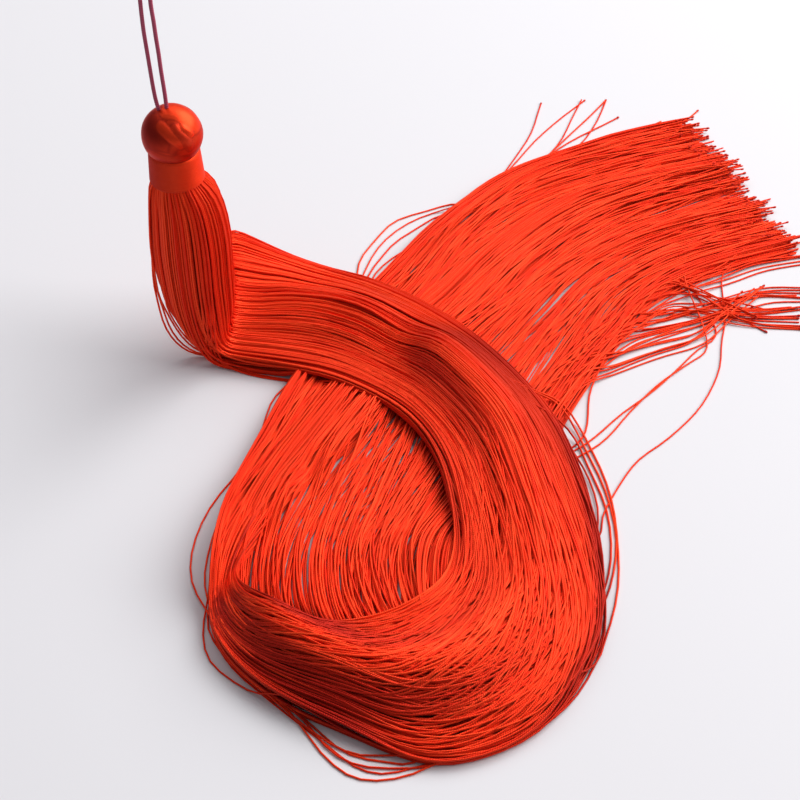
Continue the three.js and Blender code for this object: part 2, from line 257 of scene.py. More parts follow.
def softened(values, sigma):
    """Values along a line, blurred over sigma samples, its ends kept."""
    values = np.asarray(values, float)
    reach = int(3 * sigma) + 1
    kernel = np.exp(-0.5 * (np.arange(-reach, reach + 1) / sigma) ** 2)
    kernel /= kernel.sum()
    flat = values.reshape(len(values), -1)
    first, last = flat[:1], flat[-1:]
    ahead = 2 * first - flat[1 : reach + 1][::-1]
    behind = 2 * last - flat[-reach - 1 : -1][::-1]
    padded = np.vstack([ahead, flat, behind])
    out = np.stack([np.convolve(padded[:, k], kernel, "valid") for k in range(flat.shape[1])], axis=1)
    return out.reshape(values.shape)


def ease(at, start, stop):
    """0 before start, 1 after stop, and smooth between."""
    f = np.clip((at - start) / (stop - start), 0, 1)
    return f * f * (3 - 2 * f)


# ------------------------------------------------------------------ the strands' places in the bundle
DISC_EVENNESS = 0.4  # 0.5 spaces strands evenly over the disc, and less leaves its middle thinner
DISC_JITTER = 0.12


def disc_places(count, rng):
    """Even places in a round bundle, as u (towards the top of the lay) and v (towards its inner edge)."""
    i = np.arange(count)
    radius = ((i + 0.5) / count) ** DISC_EVENNESS
    turn = i * math.pi * (3 - math.sqrt(5)) + rng.normal(0, DISC_JITTER, count)
    return radius * np.cos(turn), radius * np.sin(turn)


def rank_of(values):
    """Each value's rank among them, from -1 to 1."""
    order = np.argsort(np.argsort(values))
    return 2 * (order + 0.5) / len(values) - 1


def sway(length, waves, rng):
    """Smooth wandering along a strand: a sum of waves, each (wavelength, height), in millimetres."""
    total = np.zeros_like(length)
    for wavelength, height in waves:
        wander = rng.uniform(*WAVE_WANDER)
        total += height * np.sin(2 * math.pi * length / (wavelength * wander) + rng.uniform(0, 2 * math.pi))
    return total


def narrowed(row, start, stop):
    """A return section narrowed to the share of it that one set of strands fills."""
    outer = np.array(row[0:2], float)
    inner = np.array(row[2:4], float)
    a = outer + (inner - outer) * start
    b = outer + (inner - outer) * stop
    return (*a, *b, *row[4:])


OVER_RETURN = [narrowed(row, 0, share) for row, share in zip(RETURN_ROWS, OVER_SHARE)]
UNDER_RETURN = [narrowed(row, share, 1) for row, share in zip(RETURN_ROWS, UNDER_SHARE_FROM)]
WAYS = {
    "over": np.array(LEG_ROWS + TURN_OVER_ROWS + OVER_RETURN, float),
    "under": np.array(LEG_ROWS + TURN_UNDER_ROWS + UNDER_RETURN, float),
}
LAYERS = 5
LOCKS = 170
LOCKS_ACROSS = 17
LOCKS_A_LAYER = 21
# How layers, locks and single strands wander sideways: each wave's length and height.
LAYER_WAVES = ((220, 1.6), (125, 1.0), (70, 0.35))
LOCK_WAVES = ((110, 0.3), (60, 0.16), (35, 0.08))
OWN_WAVES = ((90, 0.2), (40, 0.1), (17, 0.04))
WAVE_WANDER = (0.85, 1.15)
ROUTE_POINTS = 900
ROW_RUN = 24  # a strand that is longer by this runs one row further
ROLL_BLUR = 14  # points of its route over which a strand changes its place across
# Hollows between the folds of the lower set: points of the hollow's line, half its width, and its depth
# as a share of the pile's.
HOLLOWS = [
    ([(-30, -34), (-30, -53), (-29, -68), (-27, -79), (-22, -89), (-15, -97)], 3.2, 0.75),
    ([(-13, -29), (-9, -49), (-8, -62), (-8, -74), (-7, -85), (-4, -94)], 2.6, 0.65),
    ([(-46, -88), (-41, -97), (-33, -104), (-24, -108)], 3.0, 0.45),
]
# The bundle is thick and round where it has not yet spread: the line of its crest, its height there and
# half its width.
CREST = [
    (-36, 36, 5.0, 11), (-14, 31, 9.0, 11), (8, 18, 10.0, 11), (23, 0, 9.5, 11.5), (34, -22, 8.5, 12),
    (39, -47, 7.0, 12.5), (41, -72, 6.5, 13), (34, -97, 7.0, 13), (16, -114, 8.0, 12.5), (-9, -118, 9.5, 11),
    (-31, -107, 11.0, 9.5), (-43, -90, 9.0, 8), (-46, -76, 3.0, 8),
]


def layer_sway(length, across, seed):
    """How a whole layer wanders. Neighbours in it move nearly together, so that no gap opens."""
    rng = np.random.default_rng(seed)
    total = np.zeros_like(length)
    for wavelength, height in LAYER_WAVES:
        wander = rng.uniform(*WAVE_WANDER)
        start = rng.uniform(0, 2 * math.pi)
        slant = rng.uniform(-3, 3)
        total += height * np.sin(2 * math.pi * length / (wavelength * wander) + start + slant * across)
    return total


def plan_route(strand, rng):
    """A strand's line from the bend to its tip, with its row and rise at each point."""
    rows = WAYS[strand["way"]]
    last = len(rows) - 1
    at = np.linspace(0, last + strand["reach"] / ROW_RUN, ROUTE_POINTS)
    section = smooth_line(rows, at)
    outer, inner = section[:, 0:2], section[:, 2:4]
    across_way = inner - outer
    width = np.linalg.norm(across_way, axis=1)
    across_way /= width[:, None]
    across = softened(np.interp(at, TWIST_ROWS, strand["across"]), ROLL_BLUR)
    middle = outer + (inner - outer) * ((across + 1) / 2)[:, None]
    run = np.concatenate([[0], np.cumsum(np.linalg.norm(np.diff(middle, axis=0), axis=1))])
    lock_rng = np.random.default_rng(strand["lock"])
    drift = sway(run, LOCK_WAVES, lock_rng) + sway(run, OWN_WAVES, rng)
    drift += layer_sway(run, across, strand["layer"])
    drift *= np.clip(section[:, 5], 0.15, 4) * ease(at, -0.4, 0.8)
    held_in = np.clip(1.12 - np.abs(across) ** 3, 0.25, 1)
    line = middle + across_way * (drift * held_in)[:, None]
    if "stray" in strand:
        line = strayed(line, at, strand["stray"])
    rise = np.clip(section[:, 4], 0, None) * ((1 - across) / 2) ** 1.6
    return np.column_stack([line, at, rise])


def strayed(line, at, stray):
    """The line with the stretch between two rows led through the stray's own points."""
    start, stop, points = stray
    i = int(np.searchsorted(at, start))
    if stop is None:
        knots = np.vstack([line[max(i - 12, 0)], line[i], points])
        tail = smooth_line(knots, np.linspace(1, len(knots) - 1, len(line) - i))
        return np.vstack([line[:i], tail])
    j = int(np.searchsorted(at, stop))
    knots = np.vstack([line[i - 12], line[i], points, line[j], line[j + 12]])
    led = smooth_line(knots, np.linspace(1, len(knots) - 2, j - i))
    return np.vstack([line[:i], led, line[j:]])


# ------------------------------------------------------------------ how the strands pile up
CELL = 0.2  # the pile's height is kept in square cells of this side
PILE_LOW = np.array([-115.0, -175.0])
PILE_SHAPE = (1500, 1960)
STEP = 0.3  # between the points of a strand while it is laid
PACKED = 0.5  # how much of a strand's thickness the pile gains, since limp strands bed into each other
BRIDGE = 7.0  # a strand spans hollows that are narrower than twice this
BED_BLUR = 2.2
ORDER_JITTER = 0.18
CLEAR = 12.0  # of the return's start adds nothing to the pile, since the turn's end is there
FADE = 26.0  # after the turn's end, over which a strand comes down to its own height in the return
DIP_BLUR = 2.0
COARSE = 5  # cells in the side of a block, where the pile's shape is taken roughly
SPAN = 8  # blocks: the upper set spans hollows in the lower one that are narrower than twice this
SPAN_BLUR = 2
SPAN_SINK = 0.3  # and sinks into them by this
PRESS_FROM = 3.0  # strands higher than this are pressed down by the weight of the others
PRESS_BY = 4.5  # and rise at most this far above it
FULL_BULGE = 2.4  # a strand this far over the ones below it has the crest's whole height
BULGE_BLUR = 5.0
SLOPE_BLUR = 3.0  # blocks
STEEP = (0.25, 0.85)  # slopes between which shade is painted on the side of the bundle
LYING_RUN = (95, 130)  # along a strand, where that begins
FLAT_RUN = (370, 420)  # and where it ends
# The cells that a strand covers round its middle, with its height over that in each.
PRINT = [
    (i, j, math.sqrt(max(0.0, STRAND_R**2 - (i * i + j * j) * CELL**2)))
    for i in (-1, 0, 1)
    for j in (-1, 0, 1)
]


def cells(points):
    """The pile's cells under points."""
    where = ((points[:, :2] - PILE_LOW) / CELL).astype(int)
    return np.clip(where[:, 0], 1, PILE_SHAPE[0] - 2), np.clip(where[:, 1], 1, PILE_SHAPE[1] - 2)


def bed_down(pile, points):
    """The height of a strand's middle along its line, lying on what is there already."""
    i, j = cells(points)
    low = np.full(len(points), STRAND_R)
    for di, dj, lift in PRINT:
        low = np.maximum(low, pile[i + di, j + dj] + lift * PACKED)
    span = int(BRIDGE / STEP)
    pad = np.pad(low, span, mode="edge")
    windows = np.lib.stride_tricks.sliding_window_view(pad, 2 * span + 1)
    high = windows.max(axis=1)
    pad = np.pad(high, span, mode="edge")
    closed = np.lib.stride_tricks.sliding_window_view(pad, 2 * span + 1).min(axis=1)
    return np.maximum(softened(closed, BED_BLUR / STEP), STRAND_R)


def pile_up(pile, points, height):
    """Adds a strand's own thickness to the pile."""
    i, j = cells(points)
    for di, dj, lift in PRINT:
        np.maximum.at(pile, (i + di, j + dj), height + lift * PACKED)


def hollowed(points):
    """The share of the pile's height that is left where it dips between folds."""
    share = np.ones(len(points))
    for route, width, depth in HOLLOWS:
        middle = smooth_line(route, np.linspace(0, len(route) - 1, 40))
        gaps = np.hypot(points[:, :1] - middle[None, :, 0], points[:, 1:2] - middle[None, :, 1])
        share *= 1 - depth * np.exp(-((gaps.min(axis=1) / width) ** 2))
    return share


def crested(points):
    """How far the loosely packed bundle bulges up over its middle."""
    crest = smooth_line(CREST, np.linspace(0, len(CREST) - 1, 120))
    gaps = np.hypot(points[:, :1] - crest[None, :, 0], points[:, 1:2] - crest[None, :, 1])
    nearest = np.argmin(gaps, axis=1)
    gap = gaps[np.arange(len(points)), nearest]
    return crest[nearest, 2] * np.exp(-((gap / crest[nearest, 3]) ** 2))


def widest(values, reach, pick):
    """The highest or lowest value within reach cells of each cell."""
    out = values
    for axis in (0, 1):
        edge = [(reach, reach) if k == axis else (0, 0) for k in (0, 1)]
        padded = np.pad(out, edge, mode="edge")
        out = pick(np.lib.stride_tricks.sliding_window_view(padded, 2 * reach + 1, axis=axis), axis=-1)
    return out


def in_blocks(pile):
    """The highest value in each block of the pile's cells."""
    blocks = pile.reshape(PILE_SHAPE[0] // COARSE, COARSE, PILE_SHAPE[1] // COARSE, COARSE)
    return blocks.max(axis=(1, 3))


def softened_both_ways(grid, sigma):
    return softened(softened(grid, sigma).T, sigma).T


def spanned(pile):
    """The pile with its narrow hollows filled, as the strands above them span them."""
    closed = widest(widest(in_blocks(pile), SPAN, np.max), SPAN, np.min)
    closed = softened_both_ways(closed, SPAN_BLUR)
    fine = [np.clip((np.arange(n) + 0.5) / COARSE - 0.5, 0, n // COARSE - 1) for n in PILE_SHAPE]
    low = [np.minimum(f.astype(int), n // COARSE - 2) for f, n in zip(fine, PILE_SHAPE)]
    rest = [f - i for f, i in zip(fine, low)]
    rows = closed[low[0]] * (1 - rest[0])[:, None] + closed[low[0] + 1] * rest[0][:, None]
    full = rows[:, low[1]] * (1 - rest[1]) + rows[:, low[1] + 1] * rest[1]
    return np.maximum(pile, full - SPAN_SINK)


def lay_stretch(strands, pile, rows, first_on_top, shape):
    """Lays one stretch of every strand on what is there, and adds it to the pile."""
    ground_pile = pile.copy()
    laid = pile.copy()
    turned = -1 if first_on_top else 1
    over_begun = first_on_top
    for strand in sorted(strands, key=lambda s: ((s["way"] == "over") * turned, s["order"])):
        if strand["way"] == "over" and not over_begun:
            over_begun = True
            pile[:] = spanned(pile)
            laid[:] = spanned(laid)
        i, j = np.searchsorted(strand["plan"][:, 2], rows)
        line = strand["plan"][i:j]
        height = bed_down(laid, line)
        skip = int(CLEAR / STEP) if i else 0
        pile_up(laid, line[skip:], height[skip:])
        ground = bed_down(ground_pile, line)
        height = shape(line, height, ground)
        pile_up(pile, line[skip:], height[skip:])
        strand["height"][i:j] = height


def dipped(line, height, ground):
    """A strand's height in the return, which dips between its folds."""
    return STRAND_R + softened((height - STRAND_R) * hollowed(line), DIP_BLUR / STEP)


def bulged(line, height, ground):
    """A strand's height in the bundle, which is pressed together but bulges up over its middle."""
    pressed = PRESS_FROM + PRESS_BY * (1 - np.exp((PRESS_FROM - height) / PRESS_BY))
    height = np.where(height > PRESS_FROM, pressed, height)
    share = softened(np.clip((height - ground) / FULL_BULGE, 0, 1), BULGE_BLUR / STEP)
    return height + crested(line) * share


def lay_down(strands, rng):
    """Gives each strand its height along its line: the return first, and then all that comes before it."""
    for strand in strands:
        strand["order"] = strand["u"] + rng.normal(0, ORDER_JITTER)
        strand["height"] = np.zeros(len(strand["plan"]))
    pile = np.zeros(PILE_SHAPE)
    lay_stretch(strands, pile, (TURN_END, 99), True, dipped)
    lay_stretch(strands, pile, (-99, TURN_END), False, bulged)
    fade = int(FADE / STEP)
    share = ease(np.arange(fade), 0, fade)
    for strand in strands:
        i = int(np.searchsorted(strand["plan"][:, 2], TURN_END))
        after = strand["height"][i : i + fade]
        strand["height"][i : i + fade] = strand["height"][i - 1] * (1 - share) + after * share
    return pile


def slope_of(pile):
    """How steep the pile's surface is, over blocks of cells."""
    smooth = softened_both_ways(in_blocks(pile), SLOPE_BLUR)
    across, along = np.gradient(smooth, COARSE * CELL)
    return np.hypot(across, along)


def runs_of(lines):
    """How far along its own line each point of each strand is."""
    return np.cumsum(np.linalg.norm(np.diff(lines, axis=1, prepend=lines[:, :1]), axis=2), axis=1)


def painted_side_shade(slope, lines):
    """Painted shade on the steep side of the bundle: from 0 to 1, how far each point of the lying strands is
    down it.
    """
    i, j = cells(lines.reshape(-1, 3))
    steep = slope[i // COARSE, j // COARSE].reshape(lines.shape[:2])
    run = runs_of(lines)
    return ease(steep, *STEEP) * ease(run, *LYING_RUN) * (1 - ease(run, *FLAT_RUN))


# ------------------------------------------------------------------ whole strands
HANG_SWAY = 0.35
BEND_SLACK = 0.4
BEND_LIFT = 2.0
BEND_LOW_Z = -6  # the bend's corner comes no lower: the strands round it off well above it
LINE_STEP = 1.0
LINE_BLUR = 2.6
LOOP_JOIN_Z = 9  # above a hanging loop, where its strand leaves the others
LOOP_JOIN_X = 14  # past its end, where it joins them again
LOOSE_SPREAD = 2.4
TIP_LINEUP = 2.6  # how far the tips are out of line


def hang_line(strand):
    """The hanging stretch, from inside the neck down to where the bend begins."""
    rows = np.array(HANG)
    at = np.linspace(0, len(rows) - 1, 40)
    section = smooth_line(rows, at)
    height, radius = section[:, 0], section[:, 1]
    x = AXIS[0] + section[:, 2] + radius * strand["u"]
    y = AXIS[1] + section[:, 3] - radius * strand["v"]
    loose = ease(at, 1.5, 5)
    x = x + strand["hang_sway"][0] * loose
    y = y + strand["hang_sway"][1] * loose
    return np.column_stack([x, y, height])


def bend_line(start, end, slack):
    """The bend, drawn from the foot of the hanging stretch towards a corner near the surface, to the lay."""
    corner = np.array([start[0] + 1, start[1] * 0.7 + end[1] * 0.3, end[2] * 0.92 + BEND_LIFT])
    corner[0] -= slack[0]
    corner[1] -= slack[1]
    corner[2] = max(corner[2] - slack[2], BEND_LOW_Z)
    f = np.linspace(0, 1, 60)[1:-1, None]
    line = start * (1 - f) ** 2 + corner * 2 * f * (1 - f) + end * f**2
    line[:, 2] = np.maximum(line[:, 2], STRAND_R)
    return line


def whole_line(strand):
    """The strand from the neck to its tip, evenly spaced."""
    hang = hang_line(strand)
    plan = strand["plan"]
    lay = np.column_stack([plan[:, :2], strand["height"] + plan[:, 3]])
    if "loop" in strand:
        loop = smooth_line(strand["loop"], np.linspace(0, len(strand["loop"]) - 1, 80))
        hang = hang[hang[:, 2] > loop[0, 2] + LOOP_JOIN_Z]
        rest = lay[lay[:, 0] > loop[-1, 0] + LOOP_JOIN_X]
        first = rest[0] + (rest[0] - rest[8]) * 1e-3
        joins = np.array([hang[-6], hang[-1], loop[0], loop[3]])
        down = smooth_line(joins, np.linspace(1, 2, 12))
        joins = np.array([loop[-4], loop[-1], first, rest[8]])
        away = smooth_line(joins, np.linspace(1, 2, 16))
        line = np.vstack([hang, down[1:-1], loop, away[1:-1], rest[:: int(LINE_STEP / STEP)]])
    else:
        bend = bend_line(hang[-1], lay[0], strand["slack"])
        line = np.vstack([hang, bend, lay[:: int(LINE_STEP / STEP)]])
    line = softened(spaced(line, step=LINE_STEP), LINE_BLUR)
    line[:, 2] = np.maximum(line[:, 2], STRAND_R)
    return line


def add_strays(strands, rng):
    """Adds the strands that leave the bundle, each from a place near its own edge."""
    routes = [(way, edge, *stray) for (way, edge), strays in STRAYS.items() for stray in strays]
    for way, edge, start, stop, points in routes:
        base = np.array(points, float)
        for k in range(LOOSE_COPIES if way == "under" and stop is None else 1):
            shift = rng.normal(0, LOOSE_SPREAD, 2) if k else np.zeros(2)
            bend = np.linspace(-1, 1, len(base))[:, None] * rng.normal(0, LOOSE_SPREAD, 2) if k else 0
            u = rng.uniform(-0.85, 0.1) if way == "under" else rng.uniform(0.1, 0.85)
            v = edge * math.sqrt(1 - u * u) * rng.uniform(0.6, 0.98)
            rank = edge * rng.uniform(0.6, 0.97)
            across = v + (rank - v) * ease(np.array(TWIST_ROWS, float), 4.5, 9)
            strands.append({
                "way": way,
                "u": u,
                "v": v,
                "across": across,
                "layer": int(rng.integers(0, LAYERS)),
                "lock": int(rng.integers(1, 2**31)),
                "reach": rng.normal(0, 2.0),
                "hang_sway": rng.normal(0, HANG_SWAY, 2),
                "slack": np.abs(rng.normal(0, BEND_SLACK, 3)),
                "stray": (start, stop, base + shift + bend),
            })


def add_loops(strands, rng):
    """Adds the strands that hang in loops below the bend. Each starts under the neck above its own loop."""
    reach = HANG[-1][1]
    for loop in HANGING_LOOPS:
        u = (loop[0][0] - AXIS[0] - HANG[-1][2]) / reach
        v = -(loop[0][1] - AXIS[1] - HANG[-1][3]) / reach
        v_own = float(np.clip(v, -0.97, 0.97))
        strands.append({
            "way": "under",
            "u": float(np.clip(u, -0.97, 0.97)),
            "v": v_own,
            "across": v_own + (rng.uniform(0.75, 0.95) - v_own) * ease(np.array(TWIST_ROWS, float), 4.5, 9),
            "layer": 0,
            "lock": int(rng.integers(1, 2**31)),
            "reach": rng.normal(0, 4.0),
            "hang_sway": np.zeros(2),
            "slack": np.zeros(3),
            "loop": np.array(loop),
        })


def across_places(u, v, twist):
    """Where strands run across their set at each twist row, from -1 to 1, as the set rolls over."""
    height = np.interp(u, [u.min(), u.max()], [-1, 1])
    places = []
    for row, degrees, even in zip(TWIST_ROWS, twist, EVENNESS):
        turn = math.radians(degrees)
        twisted = v * math.cos(turn) - height * math.sin(turn)
        spread = np.interp(twisted, [twisted.min(), twisted.max()], [-1, 1])
        places.append(v if row < 5 else (1 - even) * spread + even * rank_of(twisted))
    return np.stack(places, axis=1)


def make_strands():
    """Every strand with its whole line, and how steep the pile is that they make."""
    rng = np.random.default_rng(SEED)
    u, v = disc_places(STRANDS, rng)
    under = np.zeros(STRANDS, bool)
    under[np.argsort(u)[: int(STRANDS * UNDER_SHARE)]] = True
    locks = rng.integers(1, 2**31, LOCKS)
    strands = []
    across = np.zeros((STRANDS, len(TWIST_ROWS)))
    for group, way in ((under, "under"), (~under, "over")):
        across[group] = across_places(u[group], v[group], TWIST[way])
    for k in range(STRANDS):
        layer = int((u[k] + 1) / 2 * LAYERS)
        place = (across[k, -1] + 1) / 2 * LOCKS_ACROSS + 0.4 * layer
        lock = int(place + rng.normal(0, 0.4)) + LOCKS_A_LAYER * layer
        strands.append({
            "way": "under" if under[k] else "over",
            "u": u[k],
            "v": v[k],
            "across": across[k],
            "layer": layer,
            "lock": int(locks[lock % len(locks)]),
            "reach": rng.normal(0, TIP_LINEUP) - abs(rng.normal(0, TIP_LINEUP)),
            "hang_sway": rng.normal(0, HANG_SWAY, 2),
            "slack": np.abs(rng.normal(0, BEND_SLACK, 3)),
        })
    add_strays(strands, rng)
    add_loops(strands, rng)
    for strand in strands:
        strand["plan"] = spaced(plan_route(strand, rng), step=STEP)
    slope = slope_of(lay_down(strands, rng))
    for strand in strands:
        strand["line"] = whole_line(strand)
    return strands, slope


# ------------------------------------------------------------------ the maker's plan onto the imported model
def box_middle(node):
    low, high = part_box(node)
    return (Vector(low) + Vector(high)) / 2


HEAD_MIDDLE = box_middle("head_ball")
SHIFT = np.array([HEAD_MIDDLE.x / MM - AXIS[0], HEAD_MIDDLE.y / MM - AXIS[1], 0.0])


def placed(points):
    """Plan millimetres to the model's metres."""
    return (np.asarray(points, float) + SHIFT) * MM


# ------------------------------------------------------------------ camera
def make_camera():
    """It looks down on the tassel at 45 degrees."""
    data = bpy.data.cameras.new("camera")
    data.lens = 72
    data.sensor_width = 36
    camera = bpy.data.objects.new("camera", data)
    camera.location = placed([0, -386.8, 386.8])
    camera.rotation_euler = (math.radians(45), 0, 0)
    bpy.context.collection.objects.link(camera)
    bpy.context.scene.camera = camera


# ------------------------------------------------------------------ meshes
def ways_across(lines):
    """Two unit directions across each line at each point, carried along without twisting."""
    along = np.gradient(lines, axis=1)
    along /= np.linalg.norm(along, axis=2, keepdims=True)
    side = np.cross(along[:, 0], [0.0, 1.0, 0.3])
    side /= np.linalg.norm(side, axis=1, keepdims=True)
    sides = np.empty_like(lines)
    for k in range(lines.shape[1]):
        side = side - along[:, k] * np.sum(side * along[:, k], axis=1, keepdims=True)
        side /= np.linalg.norm(side, axis=1, keepdims=True)
        sides[:, k] = side
    return sides, np.cross(along, sides)


def grid_faces(rows, columns, first=0):
    """Quads of a grid of vertices that closes round its columns."""
    r = np.arange(rows - 1)[:, None] * columns + first
    c = np.arange(columns)[None, :]
    n = (c + 1) % columns
    return np.stack([r + c, r + n, r + columns + n, r + columns + c], axis=-1).reshape(-1, 4)


def make_mesh(name, vertices, quads, caps, uv_maps, attributes, material):
    """A smooth mesh from arrays. Each uv map has one pair for each corner, quads first and then caps."""
    mesh = bpy.data.meshes.new(name)
    corners = np.concatenate([quads.ravel(), caps.ravel()])
    totals = np.concatenate([np.full(len(quads), 4), np.full(len(caps), caps.shape[1])])
    starts = np.concatenate([[0], np.cumsum(totals)[:-1]])
    mesh.vertices.add(len(vertices))
    mesh.vertices.foreach_set("co", placed(vertices).astype(np.float32).ravel())
    mesh.loops.add(len(corners))
    mesh.loops.foreach_set("vertex_index", corners.astype(np.int32))
    mesh.polygons.add(len(totals))
    mesh.polygons.foreach_set("loop_start", starts.astype(np.int32))
    mesh.polygons.foreach_set("loop_total", totals.astype(np.int32))
    mesh.polygons.foreach_set("use_smooth", np.ones(len(totals), bool))
    mesh.update(calc_edges=True)
    for map_name, uv in uv_maps.items():
        layer = mesh.uv_layers.new(name=map_name)
        layer.data.foreach_set("uv", uv.astype(np.float32).ravel())
    for attribute_name, values in attributes.items():
        attribute = mesh.attributes.new(attribute_name, "FLOAT", "POINT")
        attribute.data.foreach_set("value", values.astype(np.float32))
    mesh.materials.append(material)
    piece = bpy.data.objects.new(name, mesh)
    bpy.context.collection.objects.link(piece)
    return piece


def corner_uvs(count, rows, columns, along):
    """UVs of count threads: the bake layout, and the way along each in mm with the way round it."""
    r = np.arange(rows - 1)
    c = np.arange(columns)
    corner_r = np.stack([r, r, r + 1, r + 1], axis=-1)[:, None, :]
    corner_c = np.stack([c, c + 1, c + 1, c], axis=-1)[None, :, :]
    corner_r = np.broadcast_to(corner_r, (rows - 1, columns, 4))
    corner_c = np.broadcast_to(corner_c, (rows - 1, columns, 4)) / columns
    bake = np.empty((count, rows - 1, columns, 4, 2))
    way = np.empty_like(bake)
    for k in range(count):
        bake[k, ..., 0] = 0.01 + 0.98 * corner_r / (rows - 1)
        bake[k, ..., 1] = (k + 0.1 + 0.8 * corner_c) / count
        way[k, ..., 0] = along[k][corner_r]
        way[k, ..., 1] = corner_c
    caps = np.zeros((count * 2 * columns, 2))
    return {
        "OFBake": np.vstack([bake.reshape(-1, 2), caps]),
        "ply_way": np.vstack([way.reshape(-1, 2), caps]),
    }


def make_threads(name, lines, radii, sides, tints, marks, material):
    """Round threads from lines (count, rings, 3), with a radius and marks for each ring, as one mesh."""
    count, rings = lines.shape[:2]
    across, up = ways_across(lines)
    turn = np.arange(sides) / sides * 2 * math.pi
    ring = (
        across[:, :, None, :] * np.cos(turn)[None, None, :, None]
        + up[:, :, None, :] * np.sin(turn)[None, None, :, None]
    )
    vertices = (lines[:, :, None, :] + ring * radii[:, :, None, None]).reshape(-1, 3)
    quads = np.vstack([grid_faces(rings, sides, k * rings * sides) for k in range(count)])
    firsts = np.arange(count)[:, None] * rings * sides
    start_caps = firsts + np.arange(sides)[None, ::-1]
    end_caps = firsts + (rings - 1) * sides + np.arange(sides)[None, :]
    attributes = {"tint": np.repeat(tints, rings * sides)}
    for mark, values in marks.items():
        attributes[mark] = np.repeat(values.ravel(), sides)
    caps = np.vstack([start_caps, end_caps])
    uv_maps = corner_uvs(count, rings, sides, runs_of(lines))
    return make_mesh(name, vertices, quads, caps, uv_maps, attributes, material)


# ------------------------------------------------------------------ materials
def new_group(name, outputs):
    """An empty node group with outputs, each a name and a kind of socket."""
    group = bpy.data.node_groups.new(name, "ShaderNodeTree")
    for output_name, kind in outputs:
        group.interface.new_socket(output_name, in_out="OUTPUT", socket_type=kind)
    out = group.nodes.new("NodeGroupOutput")
    return group, out


def math_node(nodes, operation, **values):
    """A maths node, with i0 or i1 as the value of its first or second input."""
    node = nodes.new("ShaderNodeMath")
    node.operation = operation
    for index, value in values.items():
        node.inputs[int(index[1:])].default_value = value
    return node


PLY_PITCH = 1.5  # mm along a strand for two plies to pass


def ply_twist_group():
    """Plies twisted round each other: a height, and a mask that is 1 in the grooves between the plies, where
    shade is painted.
    """
    group, out = new_group("ply_twist", [("Height", "NodeSocketFloat"), ("Groove", "NodeSocketFloat")])
    nodes, links = group.nodes, group.links
    way = nodes.new("ShaderNodeUVMap")
    way.uv_map = "ply_way"
    split = nodes.new("ShaderNodeSeparateXYZ")
    links.new(way.outputs["UV"], split.inputs[0])
    along = math_node(nodes, "MULTIPLY", i1=2 * math.pi / PLY_PITCH)
    links.new(split.outputs["X"], along.inputs[0])
    round_way = math_node(nodes, "MULTIPLY", i1=2 * math.pi)
    links.new(split.outputs["Y"], round_way.inputs[0])
    phase = math_node(nodes, "ADD")
    links.new(along.outputs[0], phase.inputs[0])
    links.new(round_way.outputs[0], phase.inputs[1])
    wave = math_node(nodes, "SINE")
    links.new(phase.outputs[0], wave.inputs[0])
    height = math_node(nodes, "ABSOLUTE")
    links.new(wave.outputs[0], height.inputs[0])
    groove = math_node(nodes, "SUBTRACT", i0=1.0)
    links.new(height.outputs[0], groove.inputs[1])
    sharp = math_node(nodes, "POWER", i1=3.0)
    links.new(groove.outputs[0], sharp.inputs[0])
    links.new(height.outputs[0], out.inputs["Height"])
    links.new(sharp.outputs[0], out.inputs["Groove"])
    return group


def fibre_streaks_group():
    """Fine floss fibres side by side, along the way that the wrap runs."""
    group, out = new_group("fibre_streaks", [("Height", "NodeSocketFloat")])
    nodes, links = group.nodes, group.links
    way = nodes.new("ShaderNodeUVMap")
    way.uv_map = "fibre_way"
    stretch = nodes.new("ShaderNodeMapping")
    stretch.inputs["Scale"].default_value = (0.12, 6.0, 1.0)
    links.new(way.outputs["UV"], stretch.inputs["Vector"])
    noise = nodes.new("ShaderNodeTexNoise")
    noise.inputs["Scale"].default_value = 1.0
    noise.inputs["Detail"].default_value = 3.0
    links.new(stretch.outputs[0], noise.inputs["Vector"])
    links.new(noise.outputs["Fac"], out.inputs["Height"])
    return group


def new_material(name):
    """A material with one shader, its nodes and its links."""
    material = bpy.data.materials.new(name)
    material.use_nodes = True
    nodes = material.node_tree.nodes
    nodes.clear()
    out = nodes.new("ShaderNodeOutputMaterial")
    shader = nodes.new("ShaderNodeBsdfPrincipled")
    material.node_tree.links.new(shader.outputs[0], out.inputs["Surface"])
    return material, nodes, material.node_tree.links, shader


def group_node(nodes, group):
    node = nodes.new("ShaderNodeGroup")
    node.node_tree = group
    return node


def mix_colours(nodes, links, mask, low, high):
    """Low where the mask is 0, high where it is 1. Low and high are colours or sockets."""
    mix = nodes.new("ShaderNodeMix")
    mix.data_type = "RGBA"
    links.new(mask, mix.inputs["Factor"])
    for socket, value in ((mix.inputs[6], low), (mix.inputs[7], high)):
        if isinstance(value, tuple):
            socket.default_value = (*value, 1.0)
        else:
            links.new(value, socket)
    return mix.outputs[2]


def attribute_value(nodes, name):
    node = nodes.new("ShaderNodeAttribute")
    node.attribute_name = name
    return node.outputs["Fac"]


def raise_fibres(nodes, links, shader, height, strength, distance):
    """Lets the height of the plies or fibres raise the shader's surface, by up to distance in metres."""
    bump = nodes.new("ShaderNodeBump")
    bump.inputs["Strength"].default_value = strength
    bump.inputs["Distance"].default_value = distance
    links.new(height, bump.inputs["Height"])
    links.new(bump.outputs[0], shader.inputs["Normal"])


